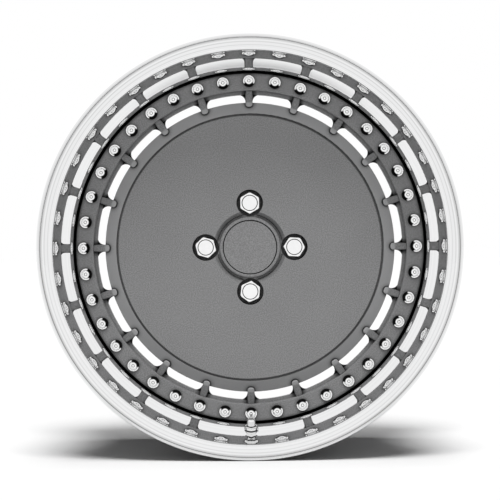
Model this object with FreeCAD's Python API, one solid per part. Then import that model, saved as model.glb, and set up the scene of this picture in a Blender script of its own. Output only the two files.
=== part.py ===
import FreeCAD, Part
import math
import os

# A three-piece alloy road wheel, 17 by 8.5 inches, four lugs on a 100 mm circle.
# Sizes are in millimetres. The axle line is Y, the street side faces -Y and +Z is up.
# The rim's middle plane is y = 0, and every depth is measured back from the street-side face.

# Rim and tyre seat
bead_diameter = 436.6
rim_width = 215.9
flange_height = 14.0
flange_thickness = 16.0
bead_seat_length = 20.0
bead_taper = 5.0
heel_radius = 6.5
hump_height = 1.2
hump_length = 7.0

# Outer lip: a rounded shoulder, a short cone and a hollow curve below the mouth
lip_depth = 85.0
lip_wall = 5.5
lip_flange = 6.0
cone_rise = 16.0
shoulder_rounding = 33.0
cone_angle = 21.0
mouth_angle = 1.8
mouth_inset = 4.1
hollow_radius = 166.0
mouth_rounding = 3.5
edge_rounding = 3.5
line_inset = 4.0
line_depth = 0.5

# Inner barrel
barrel_flange = 6.0
barrel_wall = 4.8
nut_bay_length = 20.0
joint_drop = 14.0
well_drop = 4.5
well_length = 26.0
flange_bore_inset = 10.0
seal_leg = 2.5

# Centre: bolt ring, windows and ribs, counted inwards from the lip
slot_width = 1.6
centre_flange = 14.0
register_height = 5.5
register_clearance = 0.15
bolt_edge = 9.2
ring_half = 10.9
ledge_width = 4.0
ledge_drop = 6.0
window_width = 9.6
cone_width = 13.0
disc_rise = 7.0
disc_thickness = 12.0
edge_thickness = 4.0
groove_width = 2.0
groove_depth = 3.0
window_count = 20
rib_width = 8.0
rib_overlap = 5.4
rib_height = 2.6
rib_step = 1.0
rib_edge = 1.5
window_corner = 8.0
web_drop = 10.0

# Hub
offset = 0.0
pad_diameter = 146.0
boss_diameter = 168.0
hub_bore_diameter = 72.6
hub_bore_depth = 23.0
lug_circle = 100.0
lug_count = 4
lug_pocket_diameter = 30.0
lug_pocket_depth = 19.0
lug_seat_diameter = 23.0
stud_hole_diameter = 14.0
seat_half_angle = 30.0
relief_diameter = 26.0
relief_depth = 20.0
relief_circle = 108.0

# Assembly bolts and nuts
bolt_count = 40
bolt_diameter = 7.0
bolt_clearance = 0.2
bolt_flange_diameter = 13.5
bolt_flange_height = 1.4
bolt_head_across = 10.0
bolt_head_height = 3.6
bolt_tail = 2.0
nut_across = 11.0
nut_height = 6.5
washer_diameter = 13.0
washer_thickness = 1.2

# Centre cap
cap_recess_diameter = 75.0
cap_recess_depth = 6.0
cap_chamfer = 3.5
cap_diameter = 68.8
cap_proud = 0.6
cap_face_diameter = 60.8
cap_face_thickness = 1.5
cap_face_clearance = 0.25
cap_face_drop = 0.4
cap_floor = 2.6
cap_bore_diameter = 60.0
cap_bore_length = 11.0
cap_snap_diameter = 64.6
cap_leg_clearance = 0.3
cap_leg_wall = 2.2
cap_barb = 1.2
cap_barb_length = 3.0
cap_leg_count = 6
cap_slot_width = 6.0
spring_section = 1.6
spring_gap = 5.0

# Lug nuts
lug_nut_across = 21.0
lug_nut_top_diameter = 17.4
lug_nut_top_drop = 1.5
lug_nut_chamfer = 1.2
lug_nut_floor = 5.0
lug_thread_diameter = 10.2
lug_nose = 6.2
lug_nut_turns = [16.0, 0.0, 3.0, 6.0]

# Tyre valve, square to the lip's cone
valve_azimuth = 270.0
valve_height = 11.5
valve_wall = 5.0
valve_spot_diameter = 15.0
valve_stem_diameter = 7.7
valve_hole_clearance = 0.3
valve_foot_diameter = 13.6
valve_foot_thickness = 2.0
valve_grommet_thickness = 2.4
valve_seal_thickness = 1.0
valve_seal_diameter = 12.6
valve_nut_flange_diameter = 13.5
valve_nut_flange = 1.8
valve_nut_across = 11.0
valve_nut_height = 3.6
valve_tip_length = 9.0
valve_bore_diameter = 4.4
valve_core_length = 8.0
valve_pin_diameter = 1.6
valve_pin_length = 1.2
valve_cap_diameter = 9.4
valve_cap_length = 8.0
valve_cap_top = 2.6
valve_cap_seal = 1.2

# Radii and depths that follow from the sizes above
bead_radius = bead_diameter / 2.0
flange_radius = bead_radius + flange_height
overall_width = rim_width + 2.0 * flange_thickness
front_y = -overall_width / 2.0
joint_radius = bead_radius - joint_drop
register_radius = joint_radius - lip_wall
centre_radius = register_radius - slot_width
bolt_circle_radius = centre_radius - bolt_edge
ring_inner_radius = bolt_circle_radius - ring_half
flange_bore_radius = bolt_circle_radius - flange_bore_inset
window_outer_radius = ring_inner_radius - ledge_width
window_inner_radius = window_outer_radius - window_width
disc_radius = window_inner_radius - cone_width
rib_inner_radius = window_inner_radius - rib_overlap
lip_seat_depth = lip_depth + centre_flange
barrel_seat_depth = lip_seat_depth + lip_flange
barrel_back_depth = barrel_seat_depth + barrel_flange
disc_depth = lip_depth - disc_rise
disc_back_depth = disc_depth + disc_thickness
cone_edge_depth = disc_back_depth - edge_thickness
pad_depth = -offset - front_y
cap_seat_depth = disc_depth + cap_recess_depth
bolt_hole_radius = bolt_diameter / 2.0 + bolt_clearance
AXLE = FreeCAD.Vector(0, 1, 0)
CENTRE = FreeCAD.Vector(0, 0, 0)


def corner_wire(corners, front):
    """Closed wire through (radius, depth, rounding) corners; a rounding is limited by its two sides."""
    points = [FreeCAD.Vector(radius, front + depth, 0) for radius, depth, rounding in corners]
    count = len(points)
    halves = []
    reaches = []
    for index in range(count):
        back = points[index - 1] - points[index]
        ahead = points[(index + 1) % count] - points[index]
        half = back.getAngle(ahead) / 2.0
        halves.append(half)
        reaches.append(corners[index][2] / math.tan(half))
    for index in range(count):
        following = (index + 1) % count
        side = points[index].distanceToPoint(points[following])
        needed = reaches[index] + reaches[following]
        if needed > 0.98 * side:
            reaches[index] *= 0.98 * side / needed
            reaches[following] *= 0.98 * side / needed
    starts = []
    ends = []
    edges = []
    for index in range(count):
        corner = points[index]
        back = (points[index - 1] - corner).normalize()
        ahead = (points[(index + 1) % count] - corner).normalize()
        reach = reaches[index]
        start = corner + back * reach
        end = corner + ahead * reach
        starts.append(start)
        ends.append(end)
        if reach > 1e-6:
            half = halves[index]
            radius = reach * math.tan(half)
            inward = (back + ahead).normalize()
            middle = corner + inward * (radius / math.sin(half) - radius)
            edges.append(Part.Arc(start, middle, end).toShape())
        edges.append((index, "side"))
    outline = []
    for edge in edges:
        if isinstance(edge, tuple):
            first = ends[edge[0]]
            last = starts[(edge[0] + 1) % count]
            outline.append(Part.makeLine(first, last))
        else:
            outline.append(edge)
    return Part.Wire(outline)


def turned(corners, front=front_y):
    """Solid turned about the axle line from (radius, depth, rounding) corners."""
    return Part.Face(corner_wire(corners, front)).revolve(CENTRE, AXLE, 360)


def rod(radius, start, end, front=front_y):
    """Round bar on the axle line between two depths."""
    return Part.makeCylinder(radius, end - start, FreeCAD.Vector(0, front + start, 0), AXLE)


def prism(sides, across, start, end, front=front_y):
    """Regular bar on the axle line, measured across its flats, between two depths."""
    corner_radius = across / 2.0 / math.cos(math.pi / sides)
    points = []
    for index in range(sides + 1):
        angle = 2.0 * math.pi * index / sides
        x = corner_radius * math.cos(angle)
        z = corner_radius * math.sin(angle)
        points.append(FreeCAD.Vector(x, front + start, z))
    return Part.Face(Part.makePolygon(points)).extrude(AXLE * (end - start))


def at_azimuth(shape, azimuth, radius=0.0):
    """Copy moved out along +X and turned about the axle from +X towards +Z."""
    copy = shape.copy()
    copy.translate(FreeCAD.Vector(radius, 0, 0))
    copy.rotate(CENTRE, AXLE, -azimuth)
    return copy


def ring_of(shape, count, radius=0.0, first=0.0):
    """List of equal copies spaced evenly about the axle."""
    return [at_azimuth(shape, first + 360.0 * index / count, radius) for index in range(count)]


def bead_profile(side):
    """Tyre side of one rim edge, from the flange's outer corner to the foot of the hump."""
    seat_end = bead_radius - bead_seat_length * math.tan(math.radians(bead_taper))
    foot = flange_thickness + bead_seat_length + hump_length
    corners = [
        (flange_radius, flange_thickness - 5.0, 2.0),
        (flange_radius - 4.3, flange_thickness, 4.0),
        (bead_radius, flange_thickness, heel_radius),
        (seat_end, flange_thickness + bead_seat_length, 2.0),
        (seat_end + hump_height, foot - 0.5 * hump_length, 2.5),
        (seat_end - 0.3, foot, 3.0),
    ]
    if side == "street":
        return corners
    return [(radius, overall_width - depth, rounding) for radius, depth, rounding in reversed(corners)]


# Where the lip's cone and the slope below its mouth would meet before the hollow curve joins them
cone_start_depth = lip_depth - cone_rise
cone_slope = math.tan(math.radians(cone_angle))
mouth_slope = math.tan(math.radians(mouth_angle))
mouth_radius = bead_radius - mouth_inset
hollow_depth = (register_radius + cone_start_depth * cone_slope - mouth_radius) / (cone_slope - mouth_slope)
hollow_corner_radius = mouth_radius - hollow_depth * mouth_slope

line_radius = flange_radius - line_inset
wall_across = lip_wall / math.cos(math.radians(cone_angle))
lip_corners = [
    (flange_bore_radius, lip_seat_depth, 0.6),
    (register_radius, lip_seat_depth, 1.2),
    (register_radius, cone_start_depth, shoulder_rounding),
    (hollow_corner_radius, hollow_depth, hollow_radius),
    (mouth_radius, 0.0, mouth_rounding),
    (line_radius - line_depth, 0.0, 0.0),
    (line_radius, line_depth, 0.0),
    (line_radius + line_depth, 0.0, 0.0),
    (flange_radius, 0.0, edge_rounding),
]
lip_corners += bead_profile("street")
lip_corners += [
    (joint_radius + 4.5, cone_start_depth + (wall_across - lip_wall - 4.5) / cone_slope, 4.0),
    (joint_radius, cone_start_depth + (wall_across - lip_wall) / cone_slope, 6.0),
    (joint_radius, barrel_seat_depth - seal_leg, 0.0),
    (joint_radius - seal_leg, barrel_seat_depth, 0.0),
    (flange_bore_radius, barrel_seat_depth, 0.6),
]
outer_lip = turned(lip_corners)

# Inner barrel: bay for the nuts, drop well, ramp up to the inboard seat
bay_end = barrel_back_depth + nut_bay_length
well_radius = joint_radius - well_drop
well_start = bay_end + 2.0 * well_drop
well_end = well_start + well_length
inboard_seat = bead_profile("inboard")
ramp_top_radius, ramp_top_depth, ramp_rounding = inboard_seat[0]
inside_top_radius = ramp_top_radius - barrel_wall
rolled_depth = overall_width - flange_thickness
barrel_corners = [
    (flange_bore_radius, barrel_seat_depth, 0.6),
    (joint_radius - seal_leg, barrel_seat_depth, 0.0),
    (joint_radius, barrel_seat_depth + seal_leg, 0.0),
    (joint_radius, bay_end, 6.0),
    (well_radius, well_start, 6.0),
    (well_radius, well_end, 14.0),
    (ramp_top_radius - 1.0, ramp_top_depth - 8.0, 6.0),
]
barrel_corners += inboard_seat
barrel_corners += [
    (flange_radius, overall_width, edge_rounding),
    (bead_radius + 4.0, overall_width, 5.0),
    (inside_top_radius + 1.5, rolled_depth + 3.0, 14.0),
    (inside_top_radius - 1.0, ramp_top_depth - 7.0, 10.0),
    (well_radius - barrel_wall, well_end + 1.0, 18.0),
    (well_radius - barrel_wall, well_start + 2.0, 8.0),
    (joint_radius - barrel_wall, bay_end + 2.0, 8.0),
    (joint_radius - barrel_wall, barrel_back_depth, 2.5),
    (flange_bore_radius, barrel_back_depth, 0.6),
]
inner_barrel = turned(barrel_corners)

# Bead of sealant in the notch where the lip and the barrel meet, on the tyre side
joint_seal = turned([
    (joint_radius - seal_leg, barrel_seat_depth, 0.0),
    (joint_radius, barrel_seat_depth - seal_leg, 0.0),
    (joint_radius + 0.3 * seal_leg, barrel_seat_depth, seal_leg),
    (joint_radius, barrel_seat_depth + seal_leg, 0.0),
])

# Centre: hub and disc, bolt ring, and the ribs that carry one on the other
groove_inner = disc_radius - groove_width
recess_radius = cap_recess_diameter / 2.0
hub_radius = hub_bore_diameter / 2.0
cap_bore_radius = cap_bore_diameter / 2.0
snap_radius = cap_snap_diameter / 2.0
snap_depth = cap_seat_depth + cap_bore_length
hub_bore_top = pad_depth - hub_bore_depth
disc = turned([
    (cap_bore_radius, cap_seat_depth, 0.4),
    (recess_radius, cap_seat_depth, 0.0),
    (recess_radius, disc_depth + cap_chamfer, 0.0),
    (recess_radius + cap_chamfer, disc_depth, 0.0),
    (groove_inner, disc_depth, 0.5),
    (groove_inner, disc_depth + groove_depth, 0.3),
    (disc_radius, disc_depth + groove_depth, 0.3),
    (disc_radius, disc_depth + 1.0, 0.5),
    (window_inner_radius, cone_edge_depth, 0.6),
    (window_inner_radius, disc_back_depth, 0.6),
    (boss_diameter / 2.0, disc_back_depth, 10.0),
    (pad_diameter / 2.0, pad_depth, 1.0),
    (hub_radius + 1.0, pad_depth, 0.0),
    (hub_radius, pad_depth - 1.0, 0.0),
    (hub_radius, hub_bore_top, 0.8),
    (snap_radius, hub_bore_top, 0.0),
    (snap_radius, snap_depth, 0.0),
    (cap_bore_radius, snap_depth, 0.3),
])

ledge_depth = lip_depth + ledge_drop
web_depth = lip_depth + web_drop
register_top = lip_seat_depth - register_height
bolt_ring = turned([
    (ring_inner_radius, lip_depth, 1.4),
    (ring_inner_radius - 0.2 * ledge_width, ledge_depth - 2.0, 0.6),
    (window_outer_radius, ledge_depth, 0.4),
    (window_outer_radius, lip_seat_depth, 0.0),
    (register_radius - register_clearance, lip_seat_depth, 1.8),
    (register_radius - register_clearance, register_top, 0.4),
    (centre_radius, register_top, 0.6),
    (centre_radius, lip_depth, 1.0),
])


def cone_depth_at(radius):
    """Depth of the disc's conical border at a radius."""
    run = (radius - disc_radius) / (window_inner_radius - disc_radius)
    return disc_depth + 1.0 + run * (cone_edge_depth - disc_depth - 1.0)


def rib():
    """One rib from the disc's border to the bolt ring, with webs in the window's outer corners."""
    half = rib_width / 2.0
    outer = ring_inner_radius - 0.1 * ledge_width + 1.0
    top_inner = cone_depth_at(rib_inner_radius) - rib_height
    side = [
        (rib_inner_radius, top_inner),
        (outer, lip_depth + rib_step),
        (outer, lip_seat_depth),
        (window_outer_radius + 0.8, lip_seat_depth),
        (window_inner_radius - 1.0, disc_back_depth),
        (rib_inner_radius, disc_back_depth),
    ]
    points = [FreeCAD.Vector(radius, front_y + depth, -half) for radius, depth in side]
    bar = Part.Face(Part.makePolygon(points + points[:1])).extrude(FreeCAD.Vector(0, 0, rib_width))
    upright = []
    for edge in bar.Edges:
        low, high = edge.Vertexes[0].Point, edge.Vertexes[-1].Point
        at_end = abs(low.x - rib_inner_radius) < 1e-6 and abs(high.x - rib_inner_radius) < 1e-6
        if at_end and abs(low.z - high.z) < 1e-6:
            upright.append(edge)
    bar = bar.makeFillet(0.4 * rib_width, upright)
    crest = []
    for edge in bar.Edges:
        middle = edge.valueAt((edge.FirstParameter + edge.LastParameter) / 2.0)
        run = (middle.x - rib_inner_radius) / (outer - rib_inner_radius)
        crest_y = front_y + top_inner + run * (lip_depth + rib_step - top_inner)
        if abs(middle.y - crest_y) < 1e-4 and middle.x < outer - 1e-6:
            crest.append(edge)
    bar = bar.makeFillet(rib_edge, crest)
    pieces = [bar]
    start = window_outer_radius - window_corner
    for sign in (-1, 1):
        inside = sign * (half - 0.5)
        near = FreeCAD.Vector(start, front_y + web_depth, sign * half)
        bend = window_corner * math.sqrt(0.5)
        middle = FreeCAD.Vector(start + bend, near.y, sign * (half + window_corner - bend))
        far = FreeCAD.Vector(window_outer_radius, near.y, sign * (half + window_corner))
        behind = FreeCAD.Vector(window_outer_radius + 1.0, far.y, far.z)
        root = FreeCAD.Vector(window_outer_radius + 1.0, far.y, inside)
        inner = FreeCAD.Vector(start, far.y, inside)
        edges = [Part.Arc(near, middle, far).toShape()]
        edges.append(Part.makePolygon([far, behind, root, inner, near]))
        web = Part.Face(Part.Wire(edges)).extrude(AXLE * (lip_seat_depth - web_depth))
        pieces.append(web)
    return pieces


rib_pieces = []
for piece in rib():
    rib_pieces += ring_of(piece, window_count, 0.0, 90.0)
centre = disc.fuse([bolt_ring] + rib_pieces)

# Lug seats, relief pockets behind the pad and the bolt holes
pocket_radius = lug_pocket_diameter / 2.0
seat_radius = lug_seat_diameter / 2.0
stud_radius = stud_hole_diameter / 2.0
seat_slope = math.tan(math.radians(seat_half_angle))
pocket_floor = disc_depth + lug_pocket_depth
seat_end = pocket_floor + (seat_radius - stud_radius) / seat_slope
lug_tool = turned([
    (0.0, disc_depth - 1.0, 0.0),
    (pocket_radius, disc_depth - 1.0, 0.0),
    (pocket_radius, pocket_floor, 1.0),
    (seat_radius, pocket_floor, 0.0),
    (stud_radius, seat_end, 0.0),
    (stud_radius, pad_depth + 1.0, 0.0),
    (0.0, pad_depth + 1.0, 0.0),
])
relief_tool = rod(relief_diameter / 2.0, pad_depth - relief_depth, pad_depth + 1.0)
bolt_tool = rod(bolt_hole_radius, lip_depth - 1.0, barrel_back_depth + 1.0)
bolt_tools = ring_of(bolt_tool, bolt_count, bolt_circle_radius, 90.0)
hub_tools = ring_of(lug_tool, lug_count, lug_circle / 2.0)
hub_tools += ring_of(relief_tool, lug_count, relief_circle / 2.0, 180.0 / lug_count)
wheel_centre = centre.cut(bolt_tools + hub_tools).removeSplitter()
inner_barrel = inner_barrel.cut(bolt_tools)

# Assembly bolts: flange and twelve-sided head at the front, washer and nut behind the barrel flange
head_top = lip_depth - bolt_flange_height - bolt_head_height
washer_back = barrel_back_depth + washer_thickness
nut_back = washer_back + nut_height
shank = rod(bolt_diameter / 2.0, lip_depth, nut_back + bolt_tail)
bolt_flange = rod(bolt_flange_diameter / 2.0, lip_depth - bolt_flange_height, lip_depth)
bolt_head = prism(12, bolt_head_across, head_top, lip_depth - bolt_flange_height)
bolt = bolt_flange.fuse([shank, bolt_head]).removeSplitter()
assembly_bolts = Part.makeCompound(ring_of(bolt, bolt_count, bolt_circle_radius, 90.0))
washer = rod(washer_diameter / 2.0, barrel_back_depth, washer_back)
washer = washer.cut(rod(bolt_hole_radius, barrel_back_depth - 1.0, washer_back + 1.0))
assembly_washers = Part.makeCompound(ring_of(washer, bolt_count, bolt_circle_radius, 90.0))
nut = prism(6, nut_across, washer_back, nut_back)
nut = nut.cut(rod(bolt_diameter / 2.0, washer_back - 1.0, nut_back + 1.0))
assembly_nuts = Part.makeCompound(ring_of(nut, bolt_count, bolt_circle_radius, 90.0))

# Centre cap: bezel and legs, a bare face let into it, and the ring that springs the legs out
cap_radius = cap_diameter / 2.0
cap_front = disc_depth - cap_proud
face_radius = cap_face_diameter / 2.0
face_seat = cap_front + cap_face_drop + cap_face_thickness
floor_back = face_seat + cap_floor
leg_radius = cap_bore_radius - cap_leg_clearance
leg_inside = leg_radius - cap_leg_wall
barb_radius = leg_radius + cap_barb
leg_end = snap_depth + cap_barb_length
cap_body = turned([
    (0.0, face_seat, 0.0),
    (face_radius + cap_face_clearance, face_seat, 0.0),
    (face_radius + cap_face_clearance, cap_front, 0.4),
    (cap_radius, cap_front, 2.0),
    (cap_radius, cap_seat_depth, 0.4),
    (leg_radius, cap_seat_depth, 0.0),
    (leg_radius, snap_depth, 0.0),
    (barb_radius, snap_depth, 0.0),
    (leg_radius - 0.5, leg_end, 0.0),
    (leg_inside, leg_end, 0.0),
    (leg_inside, floor_back, 1.0),
    (0.0, floor_back, 0.0),
])
slot_length = leg_end - cap_seat_depth - 2.0
slot_corner = FreeCAD.Vector(leg_inside - 2.0, front_y + leg_end - slot_length, -cap_slot_width / 2.0)
leg_slot = Part.makeBox(cap_leg_wall + cap_barb + 4.0, slot_length + 1.0, cap_slot_width, slot_corner)
cap_body = cap_body.cut(ring_of(leg_slot, cap_leg_count, 0.0, 30.0))
cap_disc = turned([
    (0.0, face_seat - cap_face_thickness, 0.0),
    (face_radius, face_seat - cap_face_thickness, 0.3),
    (face_radius, face_seat, 0.0),
    (0.0, face_seat, 0.0),
])
spring_back = leg_end - 1.0
spring = turned([
    (leg_inside - spring_section, spring_back - spring_section, 0.0),
    (leg_inside, spring_back - spring_section, 0.0),
    (leg_inside, spring_back, 0.0),
    (leg_inside - spring_section, spring_back, 0.0),
])
gap_corner = FreeCAD.Vector(leg_inside - 2.0 * spring_section, front_y + spring_back - 2.0 * spring_section,
                            -spring_gap / 2.0)
gap_tool = Part.makeBox(3.0 * spring_section, 3.0 * spring_section, spring_gap, gap_corner)
cap_spring_ring = spring.cut(gap_tool)


def lug_nut():
    """Closed lug nut on its cone seat, chamfered at the top and blind for the stud."""
    top = disc_depth + lug_nut_top_drop
    nose_start = pocket_floor + 0.5
    nose_radius = seat_radius - 0.5 * seat_slope
    nose_end = nose_start + lug_nose
    hexagon = prism(6, lug_nut_across, top, nose_start)
    corner_radius = lug_nut_across / math.sqrt(3.0)
    blank = turned([
        (0.0, top, 0.0),
        (lug_nut_top_diameter / 2.0, top, 0.6),
        (corner_radius + 0.5, top + lug_nut_chamfer, 0.0),
        (corner_radius + 0.5, pocket_floor - 2.0, 0.0),
        (nose_radius, pocket_floor - 0.6, 0.0),
        (nose_radius, nose_start, 0.0),
        (0.0, nose_start, 0.0),
    ])
    nose = turned([
        (0.0, nose_start, 0.0),
        (nose_radius, nose_start, 0.0),
        (nose_radius - lug_nose * seat_slope, nose_end, 0.0),
        (0.0, nose_end, 0.0),
    ])
    body = hexagon.common(blank).fuse(nose)
    return body.cut(rod(lug_thread_diameter / 2.0, top + lug_nut_floor, nose_end + 1.0)).removeSplitter()


nuts = []
for index in range(lug_count):
    turned_nut = lug_nut()
    turned_nut.rotate(CENTRE, AXLE, lug_nut_turns[index % len(lug_nut_turns)])
    nuts.append(at_azimuth(turned_nut, 180.0 - 360.0 * index / lug_count, lug_circle / 2.0))
lug_nuts = Part.makeCompound(nuts)

# Tyre valve, drawn on its own axis with length 0 at the lip's cone and growing towards the street side
valve_depth = cone_start_depth - valve_height
valve_point = FreeCAD.Vector(register_radius + valve_height * cone_slope, front_y + valve_depth, 0)
valve_angle = math.radians(cone_angle)
valve_axis = FreeCAD.Vector(-math.cos(valve_angle), -math.sin(valve_angle), 0)
valve_turn = FreeCAD.Rotation(AXLE, valve_axis)


def on_valve(shape):
    """Move a piece from the valve's own axis to its place in the lip."""
    placed = shape.copy()
    placed.Placement = FreeCAD.Placement(valve_point, valve_turn).multiply(placed.Placement)
    placed.rotate(CENTRE, AXLE, -valve_azimuth)
    return placed


stem_radius = valve_stem_diameter / 2.0
hole_radius = stem_radius + valve_hole_clearance
foot_radius = valve_foot_diameter / 2.0
foot_top = -valve_wall - valve_grommet_thickness
foot_end = foot_top - valve_foot_thickness
nut_top = valve_seal_thickness + valve_nut_height
bore_radius = valve_bore_diameter / 2.0
core_base = valve_tip_length - valve_core_length
pin_radius = valve_pin_diameter / 2.0
valve_hole = rod(hole_radius, -60.0, 30.0, 0.0)
spot_face = rod(valve_spot_diameter / 2.0, -60.0, -valve_wall, 0.0)
front_face = rod(valve_spot_diameter / 2.0, 0.0, 30.0, 0.0)
valve_tools = [on_valve(valve_hole), on_valve(spot_face), on_valve(front_face)]
outer_lip = outer_lip.cut(bolt_tools + valve_tools)
valve_stem = on_valve(turned([
    (pin_radius + 0.4, foot_end, 0.0),
    (foot_radius, foot_end, 0.4),
    (foot_radius, foot_top, 0.4),
    (stem_radius, foot_top, 0.0),
    (stem_radius, valve_tip_length, 0.5),
    (bore_radius, valve_tip_length, 0.0),
    (bore_radius, core_base, 0.0),
    (pin_radius + 0.4, core_base, 0.0),
], 0.0))
valve_grommet = on_valve(turned([
    (stem_radius, foot_top, 0.0),
    (foot_radius, foot_top, 0.5),
    (foot_radius, -valve_wall, 0.3),
    (hole_radius, -valve_wall, 0.0),
    (hole_radius, -1.5, 0.0),
    (stem_radius, -1.5, 0.0),
], 0.0))
valve_seal = on_valve(turned([
    (stem_radius, 0.0, 0.0),
    (valve_seal_diameter / 2.0, 0.0, 0.2),
    (valve_seal_diameter / 2.0, valve_seal_thickness, 0.2),
    (stem_radius, valve_seal_thickness, 0.0),
], 0.0))
nut_flange_top = valve_seal_thickness + valve_nut_flange
nut_flange = turned([
    (stem_radius, valve_seal_thickness, 0.0),
    (valve_nut_flange_diameter / 2.0, valve_seal_thickness, 0.0),
    (valve_nut_flange_diameter / 2.0, nut_flange_top, 1.0),
    (stem_radius, nut_flange_top, 0.0),
], 0.0)
nut_hexagon = prism(6, valve_nut_across, nut_flange_top, nut_top, 0.0)
nut_hexagon = nut_hexagon.cut(rod(stem_radius, 0.0, nut_top + 1.0, 0.0))
valve_nut = on_valve(nut_flange.fuse(nut_hexagon).removeSplitter())
pin_top = valve_tip_length + valve_pin_length
valve_core = on_valve(turned([
    (0.0, core_base, 0.0),
    (bore_radius, core_base, 0.0),
    (bore_radius, valve_tip_length - 1.0, 0.0),
    (pin_radius, valve_tip_length - 1.0, 0.0),
    (pin_radius, pin_top, 0.2),
    (0.0, pin_top, 0.0),
], 0.0))
cap_start = nut_top + 0.6
cap_end = cap_start + valve_cap_length
seal_end = valve_tip_length + valve_cap_seal
valve_cap = on_valve(turned([
    (stem_radius, cap_start, 0.0),
    (valve_cap_diameter / 2.0, cap_start, 0.4),
    (valve_cap_diameter / 2.0, cap_end, valve_cap_top),
    (0.0, cap_end, 0.0),
    (0.0, pin_top + 0.3, 0.0),
    (pin_radius + 0.5, pin_top + 0.3, 0.0),
    (pin_radius + 0.5, seal_end, 0.0),
    (stem_radius, seal_end, 0.0),
], 0.0))
valve_cap_seal_ring = on_valve(turned([
    (bore_radius + 0.3, valve_tip_length, 0.0),
    (stem_radius, valve_tip_length, 0.0),
    (stem_radius, seal_end, 0.0),
    (bore_radius + 0.3, seal_end, 0.0),
], 0.0))

nodes = {
    "wheel_centre": wheel_centre,
    "outer_lip": outer_lip,
    "inner_barrel": inner_barrel,
    "joint_seal": joint_seal,
    "assembly_bolts": assembly_bolts,
    "assembly_washers": assembly_washers,
    "assembly_nuts": assembly_nuts,
    "cap_body": cap_body,
    "cap_disc": cap_disc,
    "cap_spring_ring": cap_spring_ring,
    "lug_nuts": lug_nuts,
    "valve_stem": valve_stem,
    "valve_grommet": valve_grommet,
    "valve_seal": valve_seal,
    "valve_nut": valve_nut,
    "valve_core": valve_core,
    "valve_cap": valve_cap,
    "valve_cap_seal": valve_cap_seal_ring,
}
os.makedirs("parts", exist_ok=True)
for name, shape in nodes.items():
    shape.exportStep("parts/" + name + ".step")
    print(name, len(shape.Solids), shape.isValid(), round(shape.Volume / 1000.0, 2), "cm3")
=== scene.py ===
"""Looks of a three-piece alloy wheel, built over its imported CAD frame.

The street side faces -Y, the axle line is Y and +Z is up. Sizes here are in millimetres, as on a
drawing, and meshes are in metres. Depths are measured back from the street-side face of the rim.
"""

import logging
import math
from dataclasses import dataclass
from enum import Enum
from typing import Any, Callable, Sequence, Union

import bmesh
import bpy
from mathutils import Matrix, Vector

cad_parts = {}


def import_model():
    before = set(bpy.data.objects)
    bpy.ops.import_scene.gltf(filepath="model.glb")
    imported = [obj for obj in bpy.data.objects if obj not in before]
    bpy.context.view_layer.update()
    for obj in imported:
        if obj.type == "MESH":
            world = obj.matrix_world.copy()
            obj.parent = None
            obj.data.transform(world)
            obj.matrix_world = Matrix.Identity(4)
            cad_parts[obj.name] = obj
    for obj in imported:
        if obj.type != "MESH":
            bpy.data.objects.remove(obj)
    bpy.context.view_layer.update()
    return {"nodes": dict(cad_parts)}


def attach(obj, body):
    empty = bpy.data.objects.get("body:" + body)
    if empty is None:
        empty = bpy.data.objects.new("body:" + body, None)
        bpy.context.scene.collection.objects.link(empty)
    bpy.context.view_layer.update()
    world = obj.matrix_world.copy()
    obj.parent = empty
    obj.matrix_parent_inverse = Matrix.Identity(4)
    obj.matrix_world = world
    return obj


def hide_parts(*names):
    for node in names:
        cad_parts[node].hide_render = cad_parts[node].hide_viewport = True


LOG = logging.getLogger("alloy_wheel")
MM = 0.001
CRISP_ANGLE = 28.0
# Colour of the painted shade laid in corners, pockets and gaps.
PAINTED_SHADE = 0.010
PATTERN_REACH = 200.0
Corner = tuple[float, float, float]
Point = tuple[float, float]
Shade = tuple[float, float, float]
Outline = Callable[[float], float]
Reach = Union[float, Outline]
Plan = Sequence[tuple[Reach, Reach]]
Piece = bpy.types.Object
Finish = bpy.types.Material
Socket = bpy.types.NodeSocket
Colour = Union[Sequence[float], Socket]


class Axis(Enum):
    """Object axes that a pattern can follow."""

    X = "X"
    Y = "Y"
    Z = "Z"


class Value:
    """A number socket in a shader, with Python's operators standing for Math nodes."""

    def __init__(self, bench: "ShaderBench", socket: Socket) -> None:
        """Keep the socket and the bench that adds nodes beside it."""
        self.bench = bench
        self.socket = socket

    def _math(self, operation: str, first: Any, second: Any) -> "Value":
        """Add one Math node.

        Args:
            operation: Blender's name of the operation.
            first: left operand, a Value or a number.
            second: right operand, a Value or a number.

        Returns:
            The node's result.
        """
        node = self.bench.node("ShaderNodeMath", {"operation": operation}, {0: first, 1: second})
        return Value(self.bench, node.outputs[0])

    def __add__(self, other: Any) -> "Value":
        """Sum."""
        return self._math("ADD", self, other)

    def __radd__(self, other: Any) -> "Value":
        """Sum with a number on the left."""
        return self._math("ADD", other, self)

    def __sub__(self, other: Any) -> "Value":
        """Difference."""
        return self._math("SUBTRACT", self, other)

    def __rsub__(self, other: Any) -> "Value":
        """Difference from a number on the left."""
        return self._math("SUBTRACT", other, self)

    def __mul__(self, other: Any) -> "Value":
        """Product."""
        return self._math("MULTIPLY", self, other)

    def __rmul__(self, other: Any) -> "Value":
        """Product with a number on the left."""
        return self._math("MULTIPLY", other, self)

    def __pow__(self, other: Any) -> "Value":
        """Power; a square is a product, so that it holds for values under 0."""
        if other == 2.0:
            return self._math("MULTIPLY", self, self)
        return self._math("POWER", self, other)

    def bearing(self, upright: "Value") -> "Value":
        """Angle whose tangent is this value over the upright one."""
        return self._math("ARCTAN2", self, upright)

    def fraction(self) -> "Value":
        """Part after the decimal point."""
        return self._math("FRACT", self, 0.0)

    def sine(self) -> "Value":
        """Sine of an angle in radians."""
        return self._math("SINE", self, 0.0)


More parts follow.
